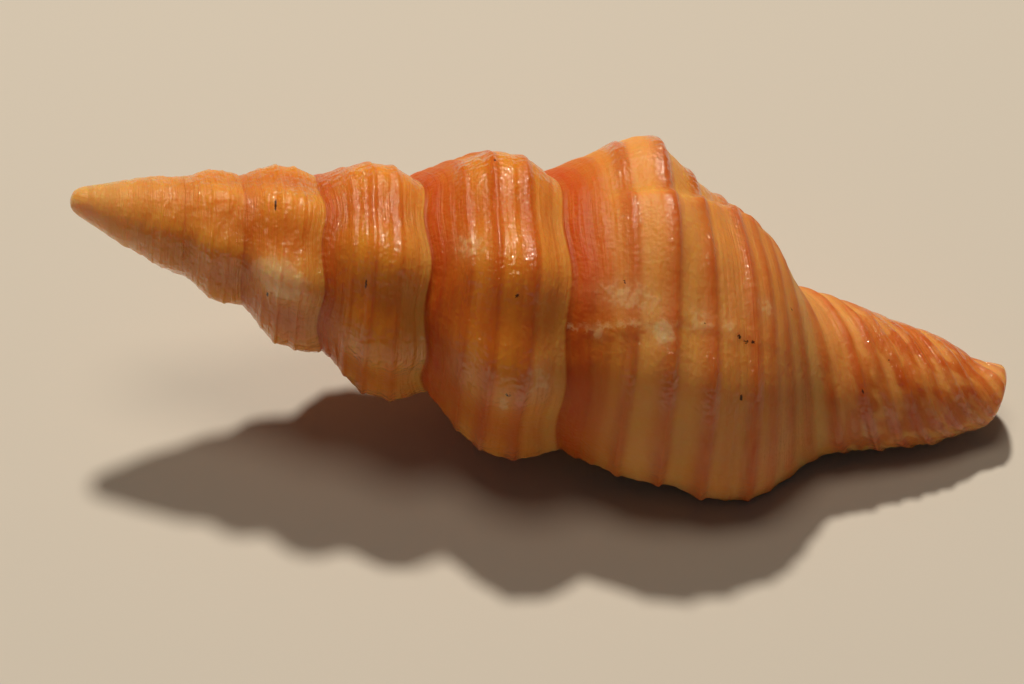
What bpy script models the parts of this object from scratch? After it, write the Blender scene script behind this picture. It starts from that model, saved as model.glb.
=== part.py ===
"""Polygona infundibulum, an adult spindle shell 60 mm long, lying on its open side.

The whole outside is one strip that winds round the axis. Each place on it has a growth
turn t, counted from the apex, and a step u down from the suture, where 1 is one whorl
height. The strip is joined to itself one turn on, and the last turn runs on over the base
and along the canal. The mouth opens at the last growth line and runs back up the spiral.
"""
import math

import bmesh
import bpy
import numpy as np

for old in list(bpy.data.objects):
    bpy.data.objects.remove(old, do_unlink=True)

# Sizes in millimetres, angles in degrees, growth in turns.
MM = 0.001
LENGTH = 60.0
LAST_TURN = 8.244
SPIRE_SCALE, WHORL_GROWTH, SPIRE_EASE = 4.880, 1.2972, 0.494

# How it lies: canal end down, growth angle of the topmost line, height of the canal's axis.
AXIS_DIP, AXIS_SWING, TOP_ANGLE = 14.24, -3.54, -43.42
TIP_HEIGHT = 2.22

# The growth turns over which the whorl changes from the spire's form to the body's and the lip's.
TO_BODY, TO_LIP = (7.3, 7.75), (7.78, 8.244)
# Radius between the ribs at the widest part of the whorl, against growth turns.
GIRTH = ((-0.5, 0.75), (0.75, 1.3), (1.75, 1.9), (2.75, 2.54), (3.25, 2.96), (3.75, 3.37),
         (4.25, 4.04), (4.75, 4.41), (5.25, 5.47), (5.75, 6), (6.25, 7.04), (6.75, 8.23),
         (7.25, 9.06), (7.5, 9.65), (7.75, 10.5), (8, 9.9), (8.25, 9.55))
# Share of that radius against u: on the spire, half way round the last turn, and at the lip.
SPIRE_FORM = ((0, 1), (0.62, 1), (0.72, 0.995), (0.85, 0.965), (1, 0.92), (1.13, 0.86), (1.3, 0.77),
              (1.5, 0.68), (1.7, 0.5), (1.95, 0.3), (2.6, 0.1), (6, 0.05))
BODY_FORM = ((0, 1), (0.3, 0.985), (0.5, 1.0), (0.58, 0.985), (0.66, 0.94), (0.8, 0.87), (0.9, 0.838),
             (1, 0.82), (1.13, 0.785), (1.3, 0.715), (1.42, 0.63), (1.5, 0.52), (1.6, 0.385), (1.7, 0.32),
             (1.8, 0.285), (2.2, 0.15), (2.6, 0.08), (6, 0.05))
LIP_FORM = ((0, 1), (0.3, 1.02), (0.5, 1), (0.65, 0.99), (0.8, 1.025), (0.94, 1.01), (1.06, 0.975),
            (1.12, 0.94), (1.19, 0.865), (1.27, 0.755), (1.35, 0.62), (1.43, 0.505), (1.52, 0.42),
            (1.65, 0.35), (2.2, 0.14), (6, 0.05))
# Share added to the spire's form just above the next suture, against growth turns, and where along u.
SUTURE_FILL = ((1.5, 0.2), (2.5, 0.14), (3.5, 0.08), (4.75, 0.03), (5.25, 0.08), (5.75, 0.01), (6.25, 0.0),
               (6.75, 0.0), (7.25, 0.0))
FILL_STEPS = (0.62, 1.0)
# How far down the whorl leans on the one above, and how fast it leaves it.
JOIN_REACH, JOIN_POWER = 0.56, 1.45
# The valley at a suture of the spire is rounded by a share of the whorl height, over a step of u,
# which fades out over these turns.
VALLEY_RISE, VALLEY_STEP, VALLEY_TURNS = 0.03, 0.1, (5.8, 7.4)
# Canal radius against distance from the apex, and how much it swells towards its underside.
CANAL = ((35, 3.6), (43.9, 4.1), (47.6, 4.55), (49.5, 4.65), (51.4, 4.26), (53.3, 3.95), (55.2, 3.5),
         (56.1, 3.25), (57.1, 2.8), (58, 2.4), (59, 2.15), (60, 1.85))
CANAL_LEAN = ((38, 0.0), (44, 0.0), (46.5, 0.03), (49.5, 0.12), (51.4, 0.12), (53.3, 0.11), (55.2, 0.07),
              (57.5, 0.06), (58.5, -0.04), (60, -0.3))
CANAL_LEAN_ANGLE = 100.0
CANAL_BEGINS, CANAL_FULL, BLEND_SHARPNESS = 35, 41, 7
# The worn apex is a low dome, which gives way to the whorls' own form: radius against the root of
# the distance from its top.
APEX_RISE = 0.12
DOME = ((0, 0), (0.35, 0.5), (0.75, 0.87), (1.06, 1.1), (1.4, 1.42), (2.0, 2.12), (3, 3.4))
DOME_ENDS, WHORLS_BEGIN = 1.6, 3.8

# Ribs as (growth turn, height as a share of the radius): the ones on the upper side, then the rest.
SEEN_RIBS = ((4.914, 0.13), (5.064, 0.15), (5.218, 0.135), (5.68, 0.04), (5.836, 0.11),
             (5.983, 0.125), (6.125, 0.12), (6.267, 0.135), (6.694, 0.01), (6.836, 0.12),
             (6.967, 0.125), (7.092, 0.125), (7.235, 0.105), (7.375, 0.07), (7.515, 0.07),
             (7.655, 0.07), (7.795, 0.135), (7.898, 0.06), (8.045, 0.07), (8.165, 0.05))
RIB_STEP, RIB_HEIGHT, RIB_HALF_WIDTH = 0.145, 0.10, 0.05
RIBS_BEGIN, RIBS_FULL = 2.2, 4.4
# Where along u a rib rises from the suture, how much it drops at the next one, and where it ends.
RIB_RISE, RIB_SUTURE_FADE, RIB_FALL = (-0.1, 0.35), 0.45, (1.0, 1.75)

# Spiral cords: their places on a whorl, early on and on the last half turn, then over the base.
EARLY_CORDS = (0.075, 0.165, 0.27, 0.47, 0.72, 0.87)
LATE_CORDS = (0.10, 0.20, 0.35, 0.585, 0.82, 0.94)
CORD_SHIFT_TURNS = (7.15, 7.8)
BASE_CORDS = (1.07, 1.18, 1.28, 1.385, 1.545, 1.64, 1.745, 1.895, 2.03, 2.14, 2.24, 2.38)
LOW_CORD_START, LOW_CORD_STEP, LAST_CORD = 2.51, 0.13, 4.2
CORD_HALF_WIDTH, CORD_HEIGHT = 0.04, 0.22
CORDS_GROW = (2.6, 7.6)

# Mouth: walls, then how far back the hollow runs, where it narrows, and its rings near the lip.
LIP_WALL, INNER_WALL, WALL_TURNS, INNER_THINNING = 0.55, 1.0, (0.0, 0.06), 0.35
MOUTH_DEPTH, SHUT_TURNS, SHUT_SHARE = 2.6, 0.3, 0.7
MOUTH_BACKS = (0.006, 0.02, 0.045, 0.08, 0.125, 0.18)
HOLLOW_REACH, HOLLOW_STEP, HOLLOW_SAMPLES, COLUMELLA_SHARE = 1.55, 0.0625, 11, 0.2
# The mouth is long, down to near the canal's end, and the hollow behind it is only a whorl high.
SHORTEN_TURNS, MOUTH_ENDS, TOP_NOTCH, NOTCH_TURNS = (0.0, 0.16), 1.2, 0.09, (0.0, 0.03)
# How square the hollow's section is: higher keeps it wide nearer to its two corners.
CORNER_POWER, CORNER_INSET, LEAST_GAP = 8, 0.01, 0.08
# The open gutter of the canal, and the glaze over the cords beside the mouth, in turns past the lip.
GUTTER_SHARE, GUTTER_TURNS = 0.5, (0.02, 0.17)
GLAZE_TURNS = (0.05, 0.2)

# Mesh: samples round one turn at the apex and at the last turn. The columns of a whorl are counted
# in cords from the suture, so that they follow the crests, and those of the base in u.
TURN_SAMPLES_APEX, TURN_SAMPLES_BODY = 14, 46
WHORL_COLUMNS = (0, 1, 2, 2.5, 3, 3.5, 4, 4.5, 5, 6)
BASE_COLUMNS = (1, 1.07, 1.125, 1.18, 1.23, 1.28, 1.33, 1.385, 1.465, 1.545, 1.592, 1.64)
CANAL_COLUMNS = 13
ROW_SPREAD = 0.45
# The canal's end: its edge, brim and dent, as depth from the end and share of the radius.
EDGE_DEPTH, BRIM_SHARE, DENT_DEPTH, DENT_SHARE, PIT_DEPTH = 0.25, 0.86, 0.5, 0.45, 0.9
# The end lies a little aslant, nearest to the apex on its lower side.
END_SLANT, LOWER_SIDE = 0.15, 90.0


def curve(x, points):
    """A smooth curve through the points that never overshoots them."""
    xs, ys = np.array(points, float).T
    gap = np.diff(xs)
    rise = np.diff(ys) / gap
    near, far = 2 * gap[1:] + gap[:-1], gap[1:] + 2 * gap[:-1]
    same = rise[1:] * rise[:-1] > 0
    safe = np.where(same, near / np.where(same, rise[:-1], 1) + far / np.where(same, rise[1:], 1), 1)
    slope = np.concatenate([rise[:1], np.where(same, (near + far) / safe, 0), rise[-1:]])
    x = np.clip(np.asarray(x, float), xs[0], xs[-1])
    k = np.clip(np.searchsorted(xs, x, side="right") - 1, 0, len(gap) - 1)
    q = (x - xs[k]) / gap[k]
    return (ys[k] * (1 + 2 * q) * (1 - q) ** 2 + ys[k + 1] * q * q * (3 - 2 * q)
            + gap[k] * (slope[k] * q * (1 - q) ** 2 - slope[k + 1] * q * q * (1 - q)))


def ease(x, start, end):
    """0 before start, 1 after end, smooth between."""
    q = np.clip((np.asarray(x, float) - start) / (end - start), 0, 1)
    return q * q * (3 - 2 * q)


def suture(t):
    """Distance of the suture from the apex."""
    return SPIRE_SCALE * (WHORL_GROWTH ** t - 1) - SPIRE_EASE * t


def height(t):
    return suture(t + 1) - suture(t)


def rib_list():
    """Every rib from the first whorls on, with the gaps between the stated ones filled evenly."""
    first = SEEN_RIBS[0][0]
    ribs = []
    for k in range(int((first - RIBS_BEGIN) / RIB_STEP), 0, -1):
        turn = first - k * RIB_STEP
        ribs.append((turn, RIB_HEIGHT * float(ease(turn, RIBS_BEGIN, RIBS_FULL))))
    for (turn, tall), (after, _) in zip(SEEN_RIBS[:-1], SEEN_RIBS[1:]):
        ribs.append((turn, tall))
        missing = round((after - turn) / RIB_STEP)
        ribs += [(turn + (after - turn) * k / missing, RIB_HEIGHT) for k in range(1, missing)]
    return ribs + [SEEN_RIBS[-1]]


RIBS = rib_list()


def rib(t, u):
    """Height of the ribs as a share of the radius, fading at the suture and over the base."""
    swell = sum(tall * np.exp(-(((t - turn) / RIB_HALF_WIDTH) ** 2)) for turn, tall in RIBS)
    lowered = 1 - RIB_SUTURE_FADE * ease(u, 0.75, 1.0)
    return swell * ease(u, *RIB_RISE) * lowered * (1 - ease(u, *RIB_FALL))


def whorl_cords(t):
    """Steps u of the suture, the whorl's own cords and the next suture, one row for each t."""
    moved = ease(t, *CORD_SHIFT_TURNS)[..., None]
    early, late = np.array((0, *EARLY_CORDS, 1)), np.array((0, *LATE_CORDS, 1))
    return early * (1 - moved) + late * moved


def cord(t, u):
    """1 on the crest of a spiral cord, 0 between cords."""
    whorl = np.moveaxis(whorl_cords(t), -1, 0)[1:-1]
    base = (*BASE_CORDS, *np.arange(LOW_CORD_START, LAST_CORD, LOW_CORD_STEP))
    return sum(np.exp(-(((u - at) / CORD_HALF_WIDTH) ** 2)) for at in (*whorl, *base))


def column_steps(t, number):
    """Steps u of the column that is a number of cords below the suture, at each t."""
    cords = whorl_cords(t)
    whole = int(number)
    return cords[..., whole] + (number - whole) * (cords[..., whole + 1] - cords[..., whole])


def bulge(t, u, ribbed):
    """Radius of the whorl's own form, before it is joined to the whorl above and the canal."""
    to_body, to_lip = ease(t, *TO_BODY), ease(t, *TO_LIP)
    fill = 1 + curve(t, SUTURE_FILL) * ease(u, *FILL_STEPS)
    form = curve(u, SPIRE_FORM) * fill * (1 - to_body) + curve(u, BODY_FORM) * to_body * (1 - to_lip)
    form = form + curve(u, LIP_FORM) * to_lip
    return curve(t, GIRTH) * form * (1 + ribbed * rib(t, u))


def valley(t, u):
    """Rise of the rounded valley at the sutures above and below a place."""
    def rise(turn, far):
        return (VALLEY_RISE * height(turn) * (1 - ease(turn, *VALLEY_TURNS))
                * np.exp(-((far / VALLEY_STEP) ** 2)))
    return rise(t, u) + rise(t + 1, (1 - u) * height(t) / height(t + 1))


def radius(t, u, plain=False):
    """Distance of the surface from the axis. The plain surface has no ribs or cords."""
    t, u = np.broadcast_arrays(np.asarray(t, float), np.asarray(u, float))
    s = suture(t) + u * height(t)
    past_lip = t - (LAST_TURN - 1)
    covered = ease(u, 1.0, 1.12) * (1 - ease(past_lip, *GLAZE_TURNS))
    detail = 0.0 if plain else 1 - covered
    above = bulge(t - 1, np.ones_like(u), 0.0 if plain else 1.0)
    join = 1 - (1 - np.clip(u / JOIN_REACH, 0, 1)) ** JOIN_POWER
    r = above * (1 - join) + bulge(t, u, detail) * join + valley(t, u)
    lean = curve(s, CANAL_LEAN) * np.cos(np.radians(360 * t - CANAL_LEAN_ANGLE))
    gutter = GUTTER_SHARE * (1 - ease(past_lip, *GUTTER_TURNS))
    canal = curve(s, CANAL) * (1 + lean) * (1 - gutter) * ease(s, CANAL_BEGINS, CANAL_FULL)
    r = (r ** BLEND_SHARPNESS + canal ** BLEND_SHARPNESS) ** (1 / BLEND_SHARPNESS)
    dome = curve(np.sqrt(np.clip(s + APEX_RISE, 0, None)), DOME)
    whorled = ease(s, DOME_ENDS, WHORLS_BEGIN)
    r = dome * (1 - whorled) + r * whorled
    tall = CORD_HEIGHT * ease(t, *CORDS_GROW) * (1 - 0.5 * ease(s, 56, LENGTH))
    return r + detail * tall * cord(t, u)


def canal_end(t):
    """Distance of the canal's end from the apex."""
    return LENGTH - END_SLANT * (1 + np.cos(np.radians(360 * t - LOWER_SIDE)))


DIP, SWING = math.radians(AXIS_DIP), math.radians(AXIS_SWING)
ALONG = np.array([math.cos(DIP) * math.cos(SWING), math.cos(DIP) * math.sin(SWING), -math.sin(DIP)])
SIDE = np.array([math.sin(SWING), -math.cos(SWING), 0.0])
TOP = np.cross(SIDE, ALONG)


def place(t, s, r):
    """A point in space from growth turn, distance along the axis and radius."""
    turn = np.radians(360 * np.asarray(t, float) - TOP_ANGLE)[..., None]
    s, r = np.asarray(s, float)[..., None], np.asarray(r, float)[..., None]
    spot = (s - LENGTH) * ALONG + r * (np.cos(turn) * TOP + np.sin(turn) * SIDE)
    return spot + np.array([0.0, 0.0, TIP_HEIGHT])


points, faces = [], []


def add(rows):
    """Adds the points and returns their numbers."""
    rows = np.atleast_2d(rows)
    points.extend(rows.tolist())
    return list(range(len(points) - len(rows), len(points)))


def zip_lines(a, at, b, bt):
    """Triangles between two lines of points, each with its own parameter that rises."""
    i = j = 0
    while i < len(a) - 1 or j < len(b) - 1:
        step_a = j == len(b) - 1 or (i < len(a) - 1 and at[i + 1] <= bt[j + 1])
        corner = a[i + 1] if step_a else b[j + 1]
        if len({a[i], b[j], corner}) == 3:
            faces.append((a[i], b[j], corner))
        i, j = (i + 1, j) if step_a else (i, j + 1)


def turn_samples():
    """Growth turns of the mesh rows, closer together on the bigger whorls."""
    rows, stops = [], (0.0, 1.0, LAST_TURN - 1, LAST_TURN)
    for start, end in zip(stops[:-1], stops[1:]):
        middle = (start + end) / 2 / LAST_TURN
        many = TURN_SAMPLES_APEX + (TURN_SAMPLES_BODY - TURN_SAMPLES_APEX) * middle
        if end == LAST_TURN:
            many = TURN_SAMPLES_BODY
        count = round(many * (end - start))
        share = np.arange(count) / count
        if (start, end) == (1.0, LAST_TURN - 1):
            share = share * (1 + ROW_SPREAD - ROW_SPREAD * share)
        rows.append(start + (end - start) * share)
    return np.append(np.concatenate(rows), LAST_TURN)


turns = turn_samples()
lip_row = int(np.argmin(abs(turns - (LAST_TURN - 1))))
apex_row = int(np.argmin(abs(turns - 1.0)))
before, last = turns[:lip_row + 1], turns[lip_row:]

# Strip columns on the whorls, then the columns that only the last turn has.
columns = []
for number in WHORL_COLUMNS:
    u = column_steps(turns, number)
    columns.append(add(place(turns, suture(turns) + u * height(turns), radius(turns, u))))
for left, right in zip(columns[:-1], columns[1:]):
    zip_lines(left, turns, right, turns)
suture_line, closing = columns[0], columns[-1]
zip_lines(closing[:lip_row + 1], before, suture_line[apex_row:], turns[apex_row:] - 1)

end_s = canal_end(last)
tip_u = (end_s - EDGE_DEPTH - suture(last)) / height(last)
extra = [np.full_like(last, u) for u in BASE_COLUMNS]
base_u = BASE_COLUMNS[-1]
extra += [base_u + (tip_u - base_u) * k / CANAL_COLUMNS for k in range(1, CANAL_COLUMNS + 1)]
outer = []
for number, u in enumerate(extra):
    spots = place(last, suture(last) + u * height(last), radius(last, u))
    if number == 0:
        outer.append([suture_line[-1]] + add(spots[1:]))
    else:
        outer.append(add(spots))
zip_lines(closing[lip_row:], last, outer[0], last)
for left, right in zip(outer[:-1], outer[1:]):
    zip_lines(left, last, right, last)

# Worn apex: the open end of the strip, drawn in to a low dome.
first_row = [column[0] for column in columns] + [suture_line[apex_row]]
rim = suture_line[:apex_row] + first_row[::-1]
crown = add(place(0.0, -APEX_RISE, 0.0))
for here, there in zip(rim, rim[1:]):
    faces.append((here, there, crown[0]))

# Canal end: a rounded edge and a shallow dent.
end_r = radius(last, (end_s - suture(last)) / height(last))
brim = add(place(last, end_s, end_r * BRIM_SHARE))
dent = add(place(last, end_s - DENT_DEPTH, end_r * DENT_SHARE))
pit = add(place(0.0, LENGTH - PIT_DEPTH, 0.0))
zip_lines(outer[-1], last, brim, last)
zip_lines(brim, last, dent, last)
for here, there in zip(dent, dent[1:]):
    faces.append((here, there, pit[0]))

# Mouth: the loop of the lip and inner lip, then rings that run back up the spiral.
lip_u = np.array([*(float(column_steps(LAST_TURN, number)) for number in WHORL_COLUMNS),
                  *(c[-1] for c in extra)])
lip_s = suture(LAST_TURN) + lip_u * height(LAST_TURN)
inner_s = np.array([suture(last[0]) + c[0] * height(last[0]) for c in extra[:0:-1]])
lip_ids = [column[-1] for column in columns] + [column[-1] for column in outer] + [brim[-1], dent[-1], pit[0]]
inner_ids = [dent[0], brim[0]] + [column[0] for column in outer[:0:-1]]
lip_v = np.append((lip_s - lip_s[0]) / (LENGTH - lip_s[0]), (0.99, 0.995, 1.0))
inner_v = np.append((0.995, 0.99), (inner_s - lip_s[0]) / (LENGTH - lip_s[0]))


def mouth_ring(back, far_v, near_v):
    """One ring of the hollow, back turns behind the lip: its outer side, then its inner side."""
    t = LAST_TURN - back
    start = suture(t) + TOP_NOTCH * height(t) * ease(back, *NOTCH_TURNS)
    inside = float(ease(back, *SHORTEN_TURNS))
    end = (LENGTH - MOUTH_ENDS) * (1 - inside) + (suture(t) + HOLLOW_REACH * height(t)) * inside
    wall = LIP_WALL + (INNER_WALL - LIP_WALL) * ease(back, *WALL_TURNS)
    wall = wall * (1 - INNER_THINNING * ease(back, 0.5, MOUTH_DEPTH))
    shut = 1 - SHUT_SHARE * float(ease(back, MOUTH_DEPTH - SHUT_TURNS, MOUTH_DEPTH))
    sides = []
    for v, far in ((far_v, True), (near_v, False)):
        s = start + (end - start) * v
        floor = np.maximum(radius(t - 1, (s - suture(t - 1)) / height(t - 1), plain=True),
                           COLUMELLA_SHARE * curve(t, GIRTH) * inside)
        roof = radius(t, (s - suture(t)) / height(t), plain=True) - wall
        q = CORNER_INSET + (1 - 2 * CORNER_INSET) * v
        gap = np.maximum(roof - floor, LEAST_GAP) * (1 - (2 * q - 1) ** CORNER_POWER) ** 0.5 * shut
        sides.append(place(t, s, floor + gap if far else floor))
    return sides


loop, loop_v = lip_ids + inner_ids, np.append(lip_v, 2 - inner_v)
few_far, few_near = np.linspace(0, 1, HOLLOW_SAMPLES), np.linspace(1, 0, HOLLOW_SAMPLES)[1:-1]
deep = np.arange(MOUTH_BACKS[-1] + HOLLOW_STEP, MOUTH_DEPTH, HOLLOW_STEP)
for back in (*MOUTH_BACKS, *deep):
    far_v, near_v = (few_far, few_near) if back > MOUTH_BACKS[-1] else (lip_v, inner_v)
    far_side, near_side = mouth_ring(back, far_v, near_v)
    ring, ring_v = add(far_side) + add(near_side), np.append(far_v, 2 - near_v)
    zip_lines(loop + loop[:1], np.append(loop_v, 2.0), ring + ring[:1], np.append(ring_v, 2.0))
    loop, loop_v = ring, ring_v
far_line, near_line = loop[:HOLLOW_SAMPLES], loop[HOLLOW_SAMPLES:]
zip_lines(far_line, few_far, far_line[:1] + near_line[::-1] + far_line[-1:], few_far)

# Lay it down: rub the lowest places flat, then centre it over the origin.
spots = np.array(points)
spots[:, 2] = np.maximum(spots[:, 2], 0.0)
spots[:, :2] -= (spots[:, :2].max(axis=0) + spots[:, :2].min(axis=0)) / 2

mesh = bpy.data.meshes.new("shell")
mesh.from_pydata((spots * MM).tolist(), [], faces)
build = bmesh.new()
build.from_mesh(mesh)
bmesh.ops.recalc_face_normals(build, faces=build.faces)
build.to_mesh(mesh)
build.free()
mesh.validate()
mesh.polygons.foreach_set("use_smooth", [True] * len(mesh.polygons))

material = bpy.data.materials.new("orange_shell")
material.use_nodes = True
surface = material.node_tree.nodes["Principled BSDF"]
surface.inputs["Base Color"].default_value = (0.75, 0.30, 0.09, 1.0)
surface.inputs["Roughness"].default_value = 0.32
surface.inputs["Metallic"].default_value = 0.0
mesh.materials.append(material)

shell = bpy.data.objects.new("shell", mesh)
bpy.context.scene.collection.objects.link(shell)
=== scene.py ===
# %% [markdown]
# # An orange spindle shell on a pale table
# The object is one empty sea-snail shell, 60 mm long, of the species Polygona infundibulum.
# The CAD model already has its spiral form, ribs and cords with few faces. This file loads it
# as a fixed frame, and puts one finer shell in its place, with the same formulas and the same
# sizes, and with the finish of the real one.

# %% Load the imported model
import math

import bpy
import numpy as np
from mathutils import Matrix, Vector


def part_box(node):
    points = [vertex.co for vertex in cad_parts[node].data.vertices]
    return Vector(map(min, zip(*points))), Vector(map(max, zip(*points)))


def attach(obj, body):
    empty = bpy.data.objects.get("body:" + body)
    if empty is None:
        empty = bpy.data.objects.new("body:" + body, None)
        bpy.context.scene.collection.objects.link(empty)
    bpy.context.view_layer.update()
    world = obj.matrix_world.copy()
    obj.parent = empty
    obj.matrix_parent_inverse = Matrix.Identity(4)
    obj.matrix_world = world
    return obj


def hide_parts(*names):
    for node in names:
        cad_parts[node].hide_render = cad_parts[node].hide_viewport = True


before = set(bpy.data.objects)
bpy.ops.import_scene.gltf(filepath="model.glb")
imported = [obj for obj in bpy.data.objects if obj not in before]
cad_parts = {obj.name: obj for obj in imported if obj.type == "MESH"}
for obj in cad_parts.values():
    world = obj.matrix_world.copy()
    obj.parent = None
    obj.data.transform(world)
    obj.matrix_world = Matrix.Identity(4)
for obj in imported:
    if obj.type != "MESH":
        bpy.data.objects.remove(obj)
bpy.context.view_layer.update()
cad_low, cad_high = (np.array(corner) * 1000 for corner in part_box("shell"))
print("CAD box of the shell, mm:", cad_low.round(2), cad_high.round(2))

# %% [markdown]
# ## The camera
# The shell was photographed from the side, looking down at 47 degrees, from about 21 cm away.
# A camera with a long lens keeps the far end of the shell nearly as big as the near one.
# The place below is in the CAD frame, so the shell needs no fitting to the picture.

# %% Camera at the photograph's viewing angle
CAMERA_PLACE = (-0.00215, -0.14731, 0.16405)
CAMERA_DOWN = 47.0
LENS, SENSOR = 119.53, 36.0

camera_data = bpy.data.cameras.new("camera")
camera_data.lens, camera_data.sensor_width, camera_data.clip_start = LENS, SENSOR, 0.01
camera = bpy.data.objects.new("camera", camera_data)
camera.location = CAMERA_PLACE
camera.rotation_euler = (math.radians(90 - CAMERA_DOWN), 0, 0)
bpy.context.scene.collection.objects.link(camera)
bpy.context.scene.camera = camera
print("camera is", round(math.dist(CAMERA_PLACE, (0, 0, 0.01)) * 1000), "mm from the shell")

# %% [markdown]
# ## How the shell grows
# A snail adds shell at its lip, so every place on the outside has an age. Here the age is t,
# counted in turns from the apex. The seam between two whorls, the suture, moves down the axis
# as t rises, each whorl being 1.3 times as high as the last. A second number, u, says how far
# below the suture a place is, counted in whorl heights. Two numbers then give every point of
# the outside, which is what a grid of vertices needs.

# %% Helpers for smooth changes
def ease(x, start, end):
    """0 before start, 1 after end, and the cubic 3 q^2 - 2 q^3 of the share q between them."""
    q = np.clip((np.asarray(x, float) - start) / (end - start), 0, 1)
    return q * q * (3 - 2 * q)


def curve(x, points):
    """A cubic through the points. Its slope at each is the weighted harmonic mean of the slopes
    beside it, and 0 where they differ in sign."""
    xs, ys = np.array(points, float).T
    gap = np.diff(xs)
    rise = np.diff(ys) / gap
    near, far = 2 * gap[1:] + gap[:-1], gap[1:] + 2 * gap[:-1]
    same = rise[1:] * rise[:-1] > 0
    safe = np.where(same, near / np.where(same, rise[:-1], 1) + far / np.where(same, rise[1:], 1), 1)
    slope = np.concatenate([rise[:1], np.where(same, (near + far) / safe, 0), rise[-1:]])
    x = np.clip(np.asarray(x, float), xs[0], xs[-1])
    k = np.clip(np.searchsorted(xs, x, side="right") - 1, 0, len(gap) - 1)
    q = (x - xs[k]) / gap[k]
    return (ys[k] * (1 + 2 * q) * (1 - q) ** 2 + ys[k + 1] * q * q * (3 - 2 * q)
            + gap[k] * (slope[k] * q * (1 - q) ** 2 - slope[k + 1] * q * q * (1 - q)))


def ridges(x, places, half_width):
    """A row of rounded ridges: the sum over the places of exp(-((x - place) / half_width)^2)."""
    return sum(np.exp(-(((x - place) / half_width) ** 2)) for place in places)


# %% The suture and the whorl height
LENGTH = 60.0
LAST_TURN = 8.244
MOUTH_TURN = LAST_TURN - 1


def suture(t):
    """Distance from the apex along the axis, mm: 4.88 (1.2972^t - 1) less 0.494 for each turn."""
    return 4.880 * (1.2972 ** t - 1) - 0.494 * t


def height(t):
    """Height of the whorl that starts at t: from its suture to the one a turn later, mm."""
    return suture(t + 1) - suture(t)


print("whorl heights, mm:", [round(float(height(t)), 2) for t in range(1, 8)])

# %% [markdown]
# ## Ribs
# Broad rounded ribs cross each whorl, about seven to a turn. Those that the photograph shows
# have their own place and height, and the hidden ones go on at the same step. One rib on the
# last whorl ends in a sharp fold on its older side, where the snail stopped for a while.

# %% Ribs
SEEN_RIBS = ((4.914, 0.13), (5.064, 0.15), (5.218, 0.135), (5.68, 0.04), (5.836, 0.11),
             (5.983, 0.125), (6.125, 0.12), (6.267, 0.135), (6.694, 0.01), (6.836, 0.12),
             (6.967, 0.125), (7.092, 0.125), (7.235, 0.105), (7.375, 0.07), (7.515, 0.07),
             (7.655, 0.07), (7.795, 0.135), (7.898, 0.06), (8.045, 0.07), (8.165, 0.05))
RIB_STEP, RIB_HEIGHT, RIB_HALF_WIDTH = 0.145, 0.10, 0.05
RIBS_GROW = (2.2, 4.4)


def rib_list():
    """(turn, height as a share of the radius) of every rib, the gaps between seen ones filled."""
    first = SEEN_RIBS[0][0]
    ribs = [(first - k * RIB_STEP, RIB_HEIGHT * float(ease(first - k * RIB_STEP, *RIBS_GROW)))
            for k in range(int((first - RIBS_GROW[0]) / RIB_STEP), 0, -1)]
    for (turn, tall), (after, _) in zip(SEEN_RIBS[:-1], SEEN_RIBS[1:]):
        missing = round((after - turn) / RIB_STEP)
        ribs += [(turn, tall)] + [(turn + (after - turn) * k / missing, RIB_HEIGHT)
                                  for k in range(1, missing)]
    return ribs + [SEEN_RIBS[-1]]


RIBS = rib_list()


def rib_swell(t):
    """The ribs seen along the strip: a sum of bell curves, each with its own height."""
    return sum(tall * np.exp(-(((t - turn) / RIB_HALF_WIDTH) ** 2)) for turn, tall in RIBS)


def rib(t, u):
    """Rib height, fading at the suture above, a little at the one below, and over the base."""
    return rib_swell(t) * ease(u, -0.1, 0.35) * (1 - 0.45 * ease(u, 0.75, 1.0)) * (1 - ease(u, 1.0, 1.75))


print(len(RIBS), "ribs")

# %% [markdown]
# ## Cords and threads
# Narrow spiral cords run along every whorl, the same ones from the first whorls to the lip.
# They keep their place u, so a column of the grid can lie right on each crest. Between them
# are finer threads. Over the base and the canal the cords lie about an eighth of a whorl apart.

# %% Cords, threads and the count of cords
EARLY_CORDS = (0.0, 0.075, 0.165, 0.27, 0.47, 0.72, 0.87, 1.0)
LATE_CORDS = (0.0, 0.10, 0.20, 0.35, 0.585, 0.82, 0.94, 1.0)
BASE_CORDS = (1.07, 1.18, 1.28, 1.385, 1.545, 1.64, 1.745, 1.895, 2.03, 2.14, 2.24, 2.38) + tuple(
    2.51 + 0.13 * np.arange(14))
CORD_SHIFT_TURNS = (7.15, 7.8)
CORD_STRENGTHS = (0, 0.6, 0.5, 0.85, 1, 1, 0.4, 0, 1, 0.9, 0.9, 0.9, 1, 0.35, 1, 0.9, 1, 0.7,
                  0.8) + (0.85,) * 15
CORD_HALF_WIDTH, CORD_HEIGHT, THREAD_HEIGHT = 0.03, 0.20, 0.04
# A cord rises slowly on the side of the suture and falls steeply on the other, over these
# shares of its half width.
SLOW_SIDE, STEEP_SIDE = 1.5, 0.65


def cord_count(t, u):
    """Number of the cord at u, with even steps between cords. The cords of the whorl move down
    by a tenth of its height in the hidden half turn before the last half whorl."""
    moved = ease(t, *CORD_SHIFT_TURNS)
    early = np.interp(u, EARLY_CORDS + BASE_CORDS, np.arange(len(EARLY_CORDS) + len(BASE_CORDS)))
    late = np.interp(u, LATE_CORDS + BASE_CORDS, np.arange(len(LATE_CORDS) + len(BASE_CORDS)))
    return early * (1 - moved) + late * moved


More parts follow.
